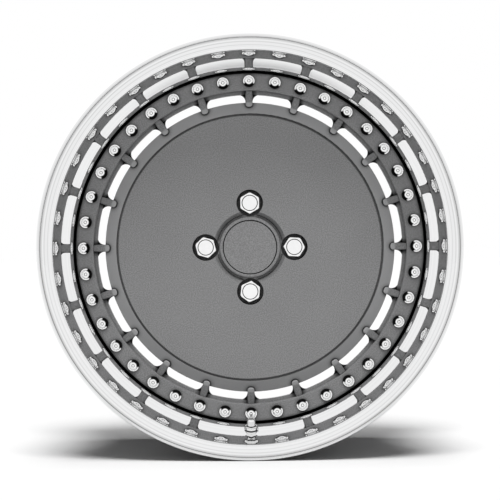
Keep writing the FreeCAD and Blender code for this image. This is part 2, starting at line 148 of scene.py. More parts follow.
class NodeBench:
    """Adds nodes to one tree."""

    def __init__(self, tree: bpy.types.NodeTree) -> None:
        """Start from an empty tree."""
        self.tree = tree
        tree.nodes.clear()

    def node(self, kind: str, settings: dict[str, Any], inputs: dict[Any, Any]) -> bpy.types.Node:
        """Add one node.

        Args:
            kind: the node's type name.
            settings: attributes that are set before the sockets.
            inputs: values or links by socket name or number.

        Returns:
            The new node.
        """
        made = self.tree.nodes.new(kind)
        for name, setting in settings.items():
            if name == "stops":
                self._stops(made, setting)
            else:
                setattr(made, name, setting)
        for key, given in inputs.items():
            if isinstance(given, Value):
                self.tree.links.new(given.socket, made.inputs[key])
            elif isinstance(given, Socket):
                self.tree.links.new(given, made.inputs[key])
            else:
                made.inputs[key].default_value = given
        return made

    def _stops(self, ramp: bpy.types.Node, stops: Sequence[tuple[float, float]]) -> None:
        """Set a colour ramp's grey stops.

        Args:
            ramp: the Color Ramp node.
            stops: (position, grey level) pairs in order.
        """
        elements = ramp.color_ramp.elements
        while len(elements) > 1:
            elements.remove(elements[-1])
        first_position, first_level = stops[0]
        elements[0].position = first_position
        elements[0].color = (first_level, first_level, first_level, 1.0)
        for position, level in stops[1:]:
            elements.new(position).color = (level, level, level, 1.0)


class ShaderBench(NodeBench):
    """Adds nodes to one material or world tree."""

    def value(self, socket: Socket) -> Value:
        """Wrap a socket for use in expressions."""
        return Value(self, socket)

    def place(self) -> Socket:
        """Object coordinates of the shaded point."""
        return self.node("ShaderNodeTexCoord", {}, {}).outputs["Object"]

    def part(self, axis: Axis) -> Value:
        """One object coordinate of the shaded point, in metres."""
        split = self.node("ShaderNodeSeparateXYZ", {}, {0: self.place()})
        return self.value(split.outputs[axis.value])

    def noise(self, scale: float, detail: float, roughness: float = 0.5) -> Value:
        """Fractal noise on Object coordinates.

        Args:
            scale: cells for each metre.
            detail: octaves.
            roughness: share of the fine octaves.

        Returns:
            Noise between about 0 and 1.
        """
        inputs = {"Vector": self.place(), "Scale": scale, "Detail": detail, "Roughness": roughness}
        made = self.node("ShaderNodeTexNoise", {}, inputs)
        return self.value(made.outputs[0])

    def ramp(self, given: Value, stops: Sequence[tuple[float, float]]) -> Value:
        """Pass a value through grey stops.

        Args:
            given: the value, 0 to 1.
            stops: (position, level) pairs.

        Returns:
            The level at the value.
        """
        made = self.node("ShaderNodeValToRGB", {"stops": stops}, {0: given})
        return self.value(made.outputs[0])

    def mix(self, dark: Colour, light: Colour, factor: Value) -> Socket:
        """Blend two colours, each of them plain or a socket.

        Args:
            dark: colour at factor 0.
            light: colour at factor 1.
            factor: how much of the second colour.

        Returns:
            The blended colour socket.
        """
        ends = [end if isinstance(end, Socket) else (*end, 1.0) for end in (dark, light)]
        made = self.node("ShaderNodeMix", {"data_type": "RGBA"}, {0: factor, 6: ends[0], 7: ends[1]})
        return made.outputs[2]

    def in_view(self) -> Value:
        """Tell what is seen from what only scatters light.

        Returns:
            1 for a surface that is seen, also in a mirror or through glass, and otherwise 0.
        """
        path = self.node("ShaderNodeLightPath", {}, {})
        seen = self.value(path.outputs["Is Camera Ray"]) + self.value(path.outputs["Is Glossy Ray"])
        seen = seen + self.value(path.outputs["Is Transmission Ray"])
        seen = seen - self.value(path.outputs["Diffuse Depth"])
        return self.ramp(seen, [(0.0, 0.0), (1.0, 1.0)])

    def shelter(self, reach: float) -> Value:
        """How open a place is: 1 on a free face, falling in corners and pockets, where shade is painted
        from it.

        Args:
            reach: distance in metres that counts as near.

        Returns:
            Open share, 0 to 1.
        """
        made = self.node("ShaderNodeAmbientOcclusion", {"samples": 8}, {"Distance": reach})
        return self.value(made.outputs["AO"])

    def around(self, circle: float, count: int) -> tuple[Value, Value]:
        """Place of the shaded point beside the nearest of equal pieces on a circle round the axle.

        Args:
            circle: radius of the circle in metres.
            count: pieces on it, the first straight up.

        Returns:
            Distance from the piece's own axis in metres, and how far the point lies on the side of the
            axle: 1 towards it, -1 away from it.
        """
        out = self.radius()
        turn = self.part(Axis.X).bearing(self.part(Axis.Z)) * (count / (2.0 * math.pi)) + (count + 0.5)
        beside = (turn.fraction() - 0.5) * (2.0 * math.pi / count) * out
        inward = circle - out
        distance = (beside ** 2.0 + inward ** 2.0 + 1e-9) ** 0.5
        return distance, inward * distance ** -1.0

    def radius(self) -> Value:
        """Distance of the shaded point from the axle line, in metres."""
        return (self.part(Axis.X) ** 2.0 + self.part(Axis.Z) ** 2.0) ** 0.5

    def lean(self) -> Value:
        """How far the surface faces away from the axle line.

        Returns:
            1 outwards, -1 inwards.
        """
        geometry = self.node("ShaderNodeNewGeometry", {}, {})
        split = self.node("ShaderNodeSeparateXYZ", {}, {0: geometry.outputs["Normal"]})
        along_x = self.value(split.outputs["X"]) * self.part(Axis.X)
        along_z = self.value(split.outputs["Z"]) * self.part(Axis.Z)
        return (along_x + along_z) * self.radius() ** -1.0

    def streaks(self, along: Value, scale: float) -> Value:
        """Noise that follows one value only, so that it runs in lines.

        Args:
            along: the value, in metres.
            scale: cells for each metre.

        Returns:
            Noise between about 0 and 1.
        """
        inputs = {"W": along, "Scale": scale, "Detail": 3.0, "Roughness": 0.6}
        made = self.node("ShaderNodeTexNoise", {"noise_dimensions": "1D"}, inputs)
        return self.ramp(self.value(made.outputs[0]), [(0.30, 0.0), (0.65, 1.0)])

    def bump(self, height: Value, distance: float, strength: float) -> Socket:
        """Turn a height into a normal.

        Args:
            height: relief, 0 to 1.
            distance: depth of the relief in metres.
            strength: how much of it shows.

        Returns:
            The normal socket.
        """
        inputs = {"Height": height, "Distance": distance, "Strength": strength}
        return self.node("ShaderNodeBump", {}, inputs).outputs[0]


def new_material(name: str) -> tuple[Finish, ShaderBench]:
    """Make an empty node material.

    Args:
        name: the finish's name.

    Returns:
        The material and a bench on its tree.
    """
    material = bpy.data.materials.new(name)
    material.use_nodes = True
    return material, ShaderBench(material.node_tree)


def close_surface(bench: ShaderBench, inputs: dict[Any, Any]) -> None:
    """Join a Principled shader to the material's output.

    Args:
        bench: the material's bench.
        inputs: the shader's sockets.
    """
    shader = bench.node("ShaderNodeBsdfPrincipled", {}, inputs)
    bench.node("ShaderNodeOutputMaterial", {}, {"Surface": shader.outputs[0]})


def close_shaded(bench: ShaderBench, inputs: dict[Any, Any], unshaded: Value) -> None:
    """Join a Principled shader to the output, with matt near-black painted shade where the surface is
    shaded.

    Args:
        bench: the material's bench.
        inputs: the shader's sockets where no shade is painted.
        unshaded: 1 where no shade is painted, 0 under full painted shade.
    """
    # Painted shade: a matt near-black surface stands in for shadow.
    shade_look = {"Base Color": (PAINTED_SHADE, PAINTED_SHADE, PAINTED_SHADE, 1.0), "Roughness": 1.0, "Specular IOR Level": 0.0}
    dull = bench.node("ShaderNodeBsdfPrincipled", {}, shade_look)
    bright = bench.node("ShaderNodeBsdfPrincipled", {}, inputs)
    mixed = bench.node("ShaderNodeMixShader", {}, {0: unshaded, 1: dull.outputs[0], 2: bright.outputs[0]})
    bench.node("ShaderNodeOutputMaterial", {}, {"Surface": mixed.outputs[0]})


@dataclass(frozen=True)
class FlakePaint:
    """Satin metallic paint: a grey coat with fine flakes that catch the light one by one."""

    name: str
    dark: Shade
    light: Shade
    roughness: float = 0.45
    metallic: float = 0.30
    flake_scale: float = 850.0
    corner_reach: float = 6.0
    # Share of the paler, painted-light copy of the paint on the disc's border.
    border: float = 0.8
    groove: float = 0.32
    groove_radii: tuple[float, ...] = (145.0, 147.0, 150.8, 151.6)
    border_radii: tuple[float, ...] = (150.0, 151.2, 163.0, 164.4)
    disc_radii: tuple[float, float] = (100.0, 110.0)
    # Radius in mm beyond which the paint turns to painted shadow.
    painted_shadow_radius: float = 1000.0

    def _band(self, bench: ShaderBench, along: Value, radii: Sequence[float]) -> Value:
        """A band round the axle that rises and falls between four radii in millimetres."""
        places = [radius / PATTERN_REACH for radius in radii]
        return bench.ramp(along, list(zip(places, (0.0, 1.0, 1.0, 0.0))))

    def make(self) -> Finish:
        """Build the paint's material: the disc's border is painted paler as painted light, and a shadow
        line and the corners are darkened as painted shade.

        Returns:
            The new material.
        """
        material, bench = new_material(self.name)
        flakes = bench.noise(self.flake_scale, 1.0)
        cloud = bench.noise(14.0, 2.0)
        spread = bench.ramp(flakes, [(0.30, 0.0), (0.70, 1.0)])
        mask = 0.75 * spread + 0.25 * cloud
        out = bench.radius()
        along = out * (1.0 / (PATTERN_REACH * MM))
        border = self._band(bench, along, self.border_radii)
        flat = bench.mix(self.dark, self.light, mask)
        # Painted light: the border ring gets a paler copy of the same paint, standing in for light
        # falling on it.
        pale = tuple(1.45 * part for part in self.light)
        colour = bench.mix(pale, flat, 1.0 - self.border * border)
        # Painted shadow: beyond this radius the paint goes near-black, a dark line for the gap round
        # the cap's disc.
        inside = bench.ramp((self.painted_shadow_radius * MM - out) * (1.0 / MM), [(0.0, 0.0), (0.1, 1.0)])
        rough = self.roughness + 0.10 * (spread - 0.5)
        normal = bench.bump(flakes, 0.00002, 0.10)
        # Painted shade: corners, pockets and gaps darken towards near-black by how enclosed they are,
        # more steeply on the disc than further out.
        free = bench.shelter(self.corner_reach * MM)
        middle = bench.ramp(free, [(0.25, 0.0), (0.40, 0.30), (0.55, 1.0)])
        outer = bench.ramp(free, [(0.30, 0.0), (0.70, 0.25), (0.97, 1.0)])
        inner, rest = (radius / PATTERN_REACH for radius in self.disc_radii)
        beyond = bench.ramp(along, [(inner, 0.0), (rest, 1.0)])
        unshaded = (middle + beyond * (outer - middle)) * inside
        # The disc's groove keeps less of the painted shade.
        groove = self._band(bench, along, self.groove_radii)
        unshaded = unshaded + self.groove * groove * (1.0 - unshaded)
        inputs = {"Base Color": colour, "Metallic": self.metallic, "Roughness": rough, "Normal": normal}
        close_shaded(bench, inputs, unshaded)
        return material


@dataclass(frozen=True)
class MirrorPolish:
    """Aluminium polished to a mirror, with streaks of the polishing wheel, darker rings on its flange
    as painted reflection, and a turned tyre side.
    """

    name: str
    colour: Shade
    mouth: float
    edge: float
    face: float
    lines: tuple[Point, ...] = (
        (0.27, 0.0), (0.309, 0.35), (0.35, 0.0), (0.47, 0.0), (0.514, 0.45), (0.56, 0.0),
        (0.63, 0.0), (0.69, 0.55), (0.765, 1.0), (0.82, 0.5), (0.90, 0.0),
    )
    turned: float = 0.66
    roughness: float = 0.02

    def make(self) -> Finish:
        """Build the polish's material: darker rings on the flange are painted reflection of dark lines,
        the outer one over the V-groove; the tyre side is only turned.

        Returns:
            The new material.
        """
        material, bench = new_material(self.name)
        out = bench.radius()
        behind = (bench.part(Axis.Y) - self.face * MM) * (1.0 / MM)
        # Painted reflection: duller rings on the flange's front stand in for dark lines it reflects;
        # the outer one lies over the V-groove.
        across = (out - self.mouth * MM) * (1.0 / ((self.edge - self.mouth) * MM))
        near = bench.ramp(across, self.lines)
        front = bench.ramp(1.0 - 0.5 * behind, [(0.0, 0.0), (0.1, 1.0)])
        worn = tuple(0.94 * part for part in self.colour)
        dull = tuple(0.58 * part for part in self.colour)
        grey = tuple(self.turned * part for part in self.colour)
        polish = bench.mix(worn, self.colour, bench.streaks(out, 420.0))
        bright = bench.mix(dull, polish, 1.0 - near * front)
        tyre = bench.ramp(bench.lean(), [(0.05, 0.0), (0.15, 1.0)])
        tyre = tyre * bench.ramp((behind - 8.0) * 0.2, [(0.0, 0.0), (1.0, 1.0)])
        colour = bench.mix(grey, bright, 1.0 - tyre)
        rough = self.roughness + 0.02 * bench.noise(9.0, 2.0) + 0.28 * tyre
        close_surface(bench, {"Base Color": colour, "Metallic": 1.0, "Roughness": rough})
        return material


@dataclass(frozen=True)
class TurnedMetal:
    """Bare metal with the fine rings that a lathe leaves along one axis."""

    name: str
    colour: Shade
    roughness: float = 0.28
    pitch: float = 0.8
    axis: Axis = Axis.Y

    def make(self) -> Finish:
        """Build the turned metal's material.

        Returns:
            The new material.
        """
        material, bench = new_material(self.name)
        run = bench.part(self.axis) * (1.0 / (self.pitch * MM))
        rings = 0.5 + 0.5 * (run * (2.0 * math.pi)).sine()
        haze = bench.noise(40.0, 3.0)
        rough = self.roughness + 0.08 * (haze - 0.5)
        worn = tuple(0.91 * part for part in self.colour)
        colour = bench.mix(worn, self.colour, 0.5 * rings + 0.5 * haze)
        normal = bench.bump(rings, 0.00002, 0.35)
        inputs = {"Base Color": colour, "Metallic": 1.0, "Roughness": rough, "Normal": normal}
        close_surface(bench, inputs)
        return material


@dataclass(frozen=True)
class BrightPlate:
    """Bright plating: smooth, with a slight cloud in its polish and painted shade in its corners."""

    name: str
    colour: Shade
    roughness: float = 0.08
    corner_reach: float = 2.0
    circle: float = 0.0
    count: int = 1
    clear: float = 3.6

    def make(self) -> Finish:
        """Build the plating's material: pieces on a circle get a dark crescent of painted shade and
        reflection on the side of the axle.

        Returns:
            The new material.
        """
        material, bench = new_material(self.name)
        cloud = bench.noise(220.0, 2.0)
        rough = self.roughness + 0.03 * cloud
        worn = tuple(0.94 * part for part in self.colour)
        colour = bench.mix(worn, self.colour, cloud)
        inputs = {"Base Color": colour, "Metallic": 1.0, "Roughness": rough}
        # Painted shade in corners, from how enclosed the surface is.
        unshaded = bench.ramp(bench.shelter(self.corner_reach * MM), [(0.30, 0.0), (0.75, 1.0)])
        if self.circle > 0.0:
            # Painted shade and reflection: a near-black crescent beside each piece on the side of the
            # axle.
            distance, inward = bench.around(self.circle * MM, self.count)
            edge = bench.ramp((distance - self.clear * MM) * (1.0 / MM), [(0.0, 0.0), (0.4, 1.0)])
            unshaded = unshaded * (1.0 - edge * bench.ramp(inward, [(0.30, 0.0), (0.55, 1.0)]))
        close_shaded(bench, inputs, unshaded)
        return material


@dataclass(frozen=True)
class DullMoulding:
    """Rubber or sealant: matt, with a fine moulded grain."""

    name: str
    dark: Shade
    light: Shade
    roughness: float = 0.62

    def make(self) -> Finish:
        """Build the moulding's material.

        Returns:
            The new material.
        """
        material, bench = new_material(self.name)
        grain = bench.noise(1400.0, 3.0)
        colour = bench.mix(self.dark, self.light, grain)
        rough = self.roughness + 0.15 * (grain - 0.5)
        normal = bench.bump(grain, 0.00006, 0.4)
        close_surface(bench, {"Base Color": colour, "Roughness": rough, "Normal": normal})
        return material


@dataclass(frozen=True)
class Palette:
    """Every finish on the wheel."""

    centre: FlakePaint = FlakePaint("gunmetal_paint", (0.195, 0.195, 0.197), (0.375, 0.375, 0.379))
    # The cap's face gets a painted shadow line round its rim, beyond 29.6 mm.
    cap_face: FlakePaint = FlakePaint(
        "cap_face_paint", (0.195, 0.195, 0.197), (0.375, 0.375, 0.379), painted_shadow_radius=29.6
    )
    lip: MirrorPolish = MirrorPolish("polished_lip", (0.850, 0.852, 0.855), 214.2, 232.3, -123.95)
    barrel: TurnedMetal = TurnedMetal("turned_barrel", (0.70, 0.70, 0.71))
    bolts: BrightPlate = BrightPlate("bolt_plate", (0.86, 0.86, 0.86), 0.04, 2.0, 188.0, 40)
    hardware: TurnedMetal = TurnedMetal("zinc_hardware", (0.62, 0.62, 0.61), 0.30, 1.0)
    lug_nuts: BrightPlate = BrightPlate("lug_chrome", (0.92, 0.92, 0.92), 0.05, 3.0)
    valve: BrightPlate = BrightPlate("valve_chrome", (0.88, 0.88, 0.88), 0.08)
    spring: TurnedMetal = TurnedMetal("spring_steel", (0.45, 0.45, 0.46), 0.35, 0.6)
    brass: TurnedMetal = TurnedMetal("core_brass", (0.80, 0.62, 0.30), 0.25, 0.5)
    rubber: DullMoulding = DullMoulding("valve_rubber", (0.018, 0.018, 0.018), (0.035, 0.035, 0.035))
    sealant: DullMoulding = DullMoulding("joint_sealant", (0.50, 0.50, 0.48), (0.62, 0.62, 0.60), 0.5)


def rounded(corners: Sequence[Corner], step: float) -> list[Point]:
    """Follow a closed profile whose corners are rounded by tangent arcs.

    Args:
        corners: (radius, depth, rounding) of each corner, in millimetres.
        step: largest turn between two points of an arc, in degrees; no chord is over 2 mm.

    Returns:
        Points of the profile, in order.
    """
    flat = [Vector((radius, depth)) for radius, depth, rounding in corners]
    count = len(flat)
    halves: list[float] = []
    reaches: list[float] = []
    for index in range(count):
        back = flat[index - 1] - flat[index]
        ahead = flat[(index + 1) % count] - flat[index]
        half = back.angle(ahead) / 2.0
        halves.append(half)
        reaches.append(corners[index][2] / math.tan(half))
    for index in range(count):
        following = (index + 1) % count
        side = (flat[index] - flat[following]).length
        needed = reaches[index] + reaches[following]
        if needed > 0.98 * side:
            reaches[index] *= 0.98 * side / needed
            reaches[following] *= 0.98 * side / needed
    points: list[Point] = []
    for index in range(count):
        corner = flat[index]
        if reaches[index] < 1e-6:
            points.append((corner.x, corner.y))
            continue
        back = (flat[index - 1] - corner).normalized()
        ahead = (flat[(index + 1) % count] - corner).normalized()
        half = halves[index]
        radius = reaches[index] * math.tan(half)
        inward = (back + ahead).normalized()
        middle = corner + inward * (radius / math.sin(half))
        start = corner + back * reaches[index] - middle
        sweep = math.pi - 2.0 * half
        pieces = max(1, math.ceil(math.degrees(sweep) / step), math.ceil(radius * sweep / 2.0))
        sign = 1.0 if back.x * ahead.y - back.y * ahead.x < 0.0 else -1.0
        for part in range(pieces + 1):
            turn = sign * sweep * part / pieces
            cosine = math.cos(turn)
            sine = math.sin(turn)
            x = middle.x + start.x * cosine - start.y * sine
            y = middle.y + start.x * sine + start.y * cosine
            points.append((x, y))
    return points


def close_mesh(name: str, work: bmesh.types.BMesh) -> Piece:
    """Turn a bmesh into a linked object with outward normals and shaded edges.

    Args:
        name: the piece's name.
        work: the mesh under construction; it is freed.

    Returns:
        The new object.
    """
    bmesh.ops.remove_doubles(work, verts=work.verts, dist=1e-7)
    bmesh.ops.recalc_face_normals(work, faces=work.faces)
    mesh = bpy.data.meshes.new(name)
    work.to_mesh(mesh)
    work.free()
    mesh.shade_smooth()
    mesh.set_sharp_from_angle(angle=math.radians(CRISP_ANGLE))
    made = bpy.data.objects.new(name, mesh)
    bpy.context.scene.collection.objects.link(made)
    return made


def lathe(work: bmesh.types.BMesh, profile: Sequence[Point], segments: int, front: float) -> None:
    """Turn a closed profile about the axle line.

    Args:
        work: mesh that gets the faces.
        profile: (radius, depth) points in millimetres.
        segments: steps round the axle.
        front: depth 0 on the Y axis, in millimetres.
    """
    rings: list[list[bmesh.types.BMVert]] = []
    for index in range(segments):
        angle = 2.0 * math.pi * index / segments
        cosine = math.cos(angle)
        sine = math.sin(angle)
        ring = [work.verts.new((r * cosine * MM, (front + d) * MM, r * sine * MM)) for r, d in profile]
        rings.append(ring)
    count = len(profile)
    for index in range(segments):
        here = rings[index]
        there = rings[(index + 1) % segments]
        for step in range(count):
            after = (step + 1) % count
            work.faces.new((here[step], here[after], there[after], there[step]))


def stack(work: bmesh.types.BMesh, rings: Sequence[Sequence[Vector]], capped: bool = True) -> None:
    """Skin a row of rings that have equal counts.

    Args:
        work: mesh that gets the faces.
        rings: points of each ring, in metres.
        capped: whether both ends are closed; a tube's last ring equals its first instead.
    """
    made = [[work.verts.new(point) for point in ring] for ring in rings]
    count = len(made[0])
    for lower, upper in zip(made, made[1:]):
        for step in range(count):
            after = (step + 1) % count
            work.faces.new((lower[step], lower[after], upper[after], upper[step]))
    if capped:
        work.faces.new(made[0])
        work.faces.new(list(reversed(made[-1])))


def settle(piece: Piece, modifier: bpy.types.Modifier) -> None:
    """Make a modifier's result the piece's own plain mesh.

    Args:
        piece: the object that has the modifier.
        modifier: the modifier; it is removed.
    """
    graph = bpy.context.evaluated_depsgraph_get()
    mesh = bpy.data.meshes.new_from_object(piece.evaluated_get(graph))
    piece.modifiers.remove(modifier)
    piece.data = mesh


def hexagon(across: float) -> Outline:
    """Outline of a hexagon.

    Args:
        across: width across flats.

    Returns:
        Radius as a function of the angle.
    """
    third = math.pi / 3.0
    return lambda angle: across / 2.0 / math.cos(angle % third - third / 2.0)


def ring_points(radius: Reach, level: Reach, sides: int, middle: float = 0.0) -> list[Vector]:
    """One ring round a line along Y.

    Args:
        radius: radius in millimetres, or a function of the angle.
        level: place on the Y axis in millimetres, or a function of the radius.
        sides: points on the ring.
        middle: X of the line in millimetres.

    Returns:
        Points in metres.
    """
    points = []
    for step in range(sides):
        angle = 2.0 * math.pi * step / sides
        reach = radius(angle) if callable(radius) else radius
        height = level(reach) if callable(level) else level
        x = middle + reach * math.cos(angle)
        z = reach * math.sin(angle)
        points.append(Vector((x * MM, height * MM, z * MM)))
    return points


class RingOfCopies(NodeBench):
    """Geometry Nodes tree that sets equal copies of one piece round the axle."""

    INPUTS = (
        ("Count", "NodeSocketInt"),
        ("First Angle", "NodeSocketFloat"),
        ("Piece", "NodeSocketObject"),
        ("Finish", "NodeSocketMaterial"),
    )

    def __init__(self) -> None:
        """Build the tree once."""
        super().__init__(bpy.data.node_groups.new("ring_of_copies", "GeometryNodeTree"))
        self.identifiers: dict[str, str] = {}
        for name, kind in self.INPUTS:
            socket = self.tree.interface.new_socket(name, in_out="INPUT", socket_type=kind)
            self.identifiers[name] = socket.identifier
        self.tree.interface.new_socket("Geometry", in_out="OUTPUT", socket_type="NodeSocketGeometry")
        given = self.node("NodeGroupInput", {}, {})
        count = given.outputs["Count"]
        points = self.node("GeometryNodeMeshLine", {}, {"Count": count, "Offset": (0.0, 0.0, 0.0)})
        index = self.node("GeometryNodeInputIndex", {}, {})
        share = self.node("ShaderNodeMath", {"operation": "DIVIDE"}, {0: index.outputs[0], 1: count})
        round_trip = {0: share.outputs[0], 1: -2.0 * math.pi}
        turn = self.node("ShaderNodeMath", {"operation": "MULTIPLY"}, round_trip)
        first = given.outputs["First Angle"]
        angle = self.node("ShaderNodeMath", {"operation": "SUBTRACT"}, {0: turn.outputs[0], 1: first})
        euler = self.node("ShaderNodeCombineXYZ", {}, {"Y": angle.outputs[0]})
        piece = self.node("GeometryNodeObjectInfo", {}, {"Object": given.outputs["Piece"]})
        pattern = piece.outputs["Geometry"]
        inputs = {"Points": points.outputs[0], "Instance": pattern, "Rotation": euler.outputs[0]}
        copies = self.node("GeometryNodeInstanceOnPoints", {}, inputs)
        real = self.node("GeometryNodeRealizeInstances", {}, {0: copies.outputs[0]})
        finish = {"Geometry": real.outputs[0], "Material": given.outputs["Finish"]}
        dressed = self.node("GeometryNodeSetMaterial", {}, finish)
        self.node("NodeGroupOutput", {}, {0: dressed.outputs[0]})

    def place(self, name: str, piece: Piece, count: int, first: float, finish: Finish) -> Piece:
        """Set copies of a piece round the axle as one plain mesh.

        Args:
            name: name of the finished piece.
            piece: the pattern, already moved out to its circle along +X; it is removed.
            count: copies in the ring.
            first: azimuth of the first copy from +X towards +Z, in degrees.
            finish: material of the copies.

        Returns:
            The finished object.
        """
        made = bpy.data.objects.new(name, bpy.data.meshes.new(name + "_base"))
        bpy.context.scene.collection.objects.link(made)
        modifier = made.modifiers.new("ring", "NODES")
        modifier.node_group = self.tree
        modifier[self.identifiers["Count"]] = count
        modifier[self.identifiers["First Angle"]] = math.radians(first)
        modifier[self.identifiers["Piece"]] = piece
        modifier[self.identifiers["Finish"]] = finish
        settle(made, modifier)
        made.data.name = name
        bpy.data.objects.remove(piece)
        return made


def wear(piece: Piece, finish: Finish) -> None:
    """Give a piece one material.

    Args:
        piece: the object to dress.
        finish: its material.
    """
    piece.data.materials.clear()
    piece.data.materials.append(finish)


def seat(piece: Piece, node: str) -> None:
    """Ride a finished piece on the wheel in place of a CAD node.

    Args:
        piece: the finished object.
        node: the CAD node that it stands for.
    """
    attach(piece, "root")
    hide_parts(node)
    LOG.info("%s stands for %s with %d faces", piece.name, node, len(piece.data.polygons))


@dataclass
class RimSizes:
    """Sizes that the lip, the barrel and the centre share."""

    bead_diameter: float = 436.6
    rim_width: float = 215.9
    flange_height: float = 14.0
    flange_thickness: float = 16.0
    lip_depth: float = 85.0
    centre_flange: float = 14.0
    lip_flange: float = 6.0
    barrel_flange: float = 6.0
    joint_drop: float = 14.0
    lip_wall: float = 5.5
    slot_width: float = 1.6
    bolt_edge: float = 9.2

    @property
    def front(self) -> float:
        """Street-side face on the Y axis."""
        return -(self.rim_width / 2.0 + self.flange_thickness)

    @property
    def bead_radius(self) -> float:
        """Radius of the tyre seat."""
        return self.bead_diameter / 2.0

    @property
    def flange_radius(self) -> float:
        """Outer radius of the wheel."""
        return self.bead_radius + self.flange_height

    @property
    def joint_radius(self) -> float:
        """Tyre side of the joint between lip and barrel."""
        return self.bead_radius - self.joint_drop

    @property
    def register_radius(self) -> float:
        """Street side of the lip's wall beside the centre."""
        return self.joint_radius - self.lip_wall

    @property
    def bolt_circle(self) -> float:
        """Radius of the ring of bolts."""
        return self.register_radius - self.slot_width - self.bolt_edge

    @property
    def lip_seat(self) -> float:
        """Depth of the face that the centre sits on."""
        return self.lip_depth + self.centre_flange

    @property
    def barrel_seat(self) -> float:
        """Depth of the face between lip and barrel."""
        return self.lip_seat + self.lip_flange

    @property
    def barrel_back(self) -> float:
        """Depth of the back of the barrel's flange."""
        return self.barrel_seat + self.barrel_flange


@dataclass
class OuterLip:
    """Polished outer lip: a cone that runs into a hollow curve below the mouth."""

    rim: RimSizes
    cone_rise: float = 16.0
    shoulder_rounding: float = 33.0
    cone_angle: float = 21.0
    mouth_angle: float = 1.8
    mouth_inset: float = 4.1
    hollow_radius: float = 166.0
    mouth_rounding: float = 3.5
    edge_rounding: float = 3.5
    line_inset: float = 4.0
    line_depth: float = 0.5
    back_rise: float = 5.0
    back_inset: float = 4.3
    bore_rounding: float = 0.6
    neck_height: float = 4.5
    bead_seat: float = 20.0
    bead_taper: float = 5.0
    heel_radius: float = 6.5
    hump_height: float = 1.2
    hump_length: float = 7.0
    flange_bore_inset: float = 10.0
    seal_leg: float = 2.5
    valve_height: float = 11.5
    valve_wall: float = 5.0
    valve_spot: float = 15.0
    valve_bore: float = 8.3
    valve_sides: int = 48
    cut_inward: float = 60.0
    cut_outward: float = 30.0
    arc_step: float = 6.0
    segments: int = 480

    def corners(self) -> list[Corner]:
        """Profile of the lip, street side first.

        Returns:
            (radius, depth, rounding) corners in millimetres.
        """
        rim = self.rim
        cone_start = rim.lip_depth - self.cone_rise
        cone = math.tan(math.radians(self.cone_angle))
        mouth = math.tan(math.radians(self.mouth_angle))
        mouth_radius = rim.bead_radius - self.mouth_inset
        hollow_depth = (rim.register_radius + cone_start * cone - mouth_radius) / (cone - mouth)
        bore = rim.bolt_circle - self.flange_bore_inset
        line = rim.flange_radius - self.line_inset
        seat_end = rim.bead_radius - self.bead_seat * math.tan(math.radians(self.bead_taper))
        foot = rim.flange_thickness + self.bead_seat + self.hump_length
        across = rim.lip_wall / math.cos(math.radians(self.cone_angle)) - rim.lip_wall
        joint = rim.joint_radius
        return [
            (bore, rim.lip_seat, self.bore_rounding),
            (rim.register_radius, rim.lip_seat, 1.2),
            (rim.register_radius, cone_start, self.shoulder_rounding),
            (mouth_radius - hollow_depth * mouth, hollow_depth, self.hollow_radius),
            (mouth_radius, 0.0, self.mouth_rounding),
            (line - self.line_depth, 0.0, 0.0),
            (line, self.line_depth, 0.0),
            (line + self.line_depth, 0.0, 0.0),
            (rim.flange_radius, 0.0, self.edge_rounding),
            (rim.flange_radius, rim.flange_thickness - self.back_rise, 2.0),
            (rim.flange_radius - self.back_inset, rim.flange_thickness, 4.0),
            (rim.bead_radius, rim.flange_thickness, self.heel_radius),
            (seat_end, rim.flange_thickness + self.bead_seat, 2.0),
            (seat_end + self.hump_height, foot - 0.5 * self.hump_length, 2.5),
            (seat_end - 0.3, foot, 3.0),
            (joint + self.neck_height, cone_start + (across - self.neck_height) / cone, 4.0),
            (joint, cone_start + across / cone, 6.0),
            (joint, rim.barrel_seat - self.seal_leg, 0.0),
            (joint - self.seal_leg, rim.barrel_seat, 0.0),
            (bore, rim.barrel_seat, self.bore_rounding),
        ]

    def valve_frame(self) -> Matrix:
        """Place of the valve.

        Returns:
            Frame whose Z axis runs out of the cone, with 0 on the cone.
        """
        rim = self.rim
        slope = math.radians(self.cone_angle)
        radius = rim.register_radius + self.valve_height * math.tan(slope)
        depth = rim.front + rim.lip_depth - self.cone_rise - self.valve_height
        outward = Vector((0.0, -math.sin(slope), math.cos(slope)))
        turn = outward.to_track_quat("Z", "Y").to_matrix().to_4x4()
        return Matrix.Translation((0.0, depth * MM, -radius * MM)) @ turn

    def valve_cutter(self) -> Piece:
        """Solid of the valve's hole with a flat seat on each side of the wall.

        Returns:
            The cutter, in its place.
        """
        spot = self.valve_spot / 2.0
        hole = self.valve_bore / 2.0
        wall = -self.valve_wall
        spans = (
            (spot, -self.cut_inward), (spot, wall), (hole, wall),
            (hole, 0.0), (spot, 0.0), (spot, self.cut_outward),
        )
        rings = []
        for radius, height in spans:
            circle = ring_points(radius, height, self.valve_sides)
            rings.append([Vector((point.x, point.z, point.y)) for point in circle])
        work = bmesh.new()
        stack(work, rings)
        tool = close_mesh("valve_cutter", work)
        tool.data.transform(self.valve_frame())
        return tool

    def build(self, finish: Finish) -> Piece:
        """Turn the lip and cut the valve's hole with its two flat seats.

        Args:
            finish: the polish.

        Returns:
            The finished lip.
        """
        work = bmesh.new()
        lathe(work, rounded(self.corners(), self.arc_step), self.segments, self.rim.front)
        lip = close_mesh("polished_outer_lip", work)
        tool = self.valve_cutter()
        boolean = lip.modifiers.new("valve_seat", "BOOLEAN")
        boolean.operation = "DIFFERENCE"
        boolean.object = tool
        settle(lip, boolean)
        bpy.data.objects.remove(tool)
        wear(lip, finish)
        seat(lip, "outer_lip")
        return lip


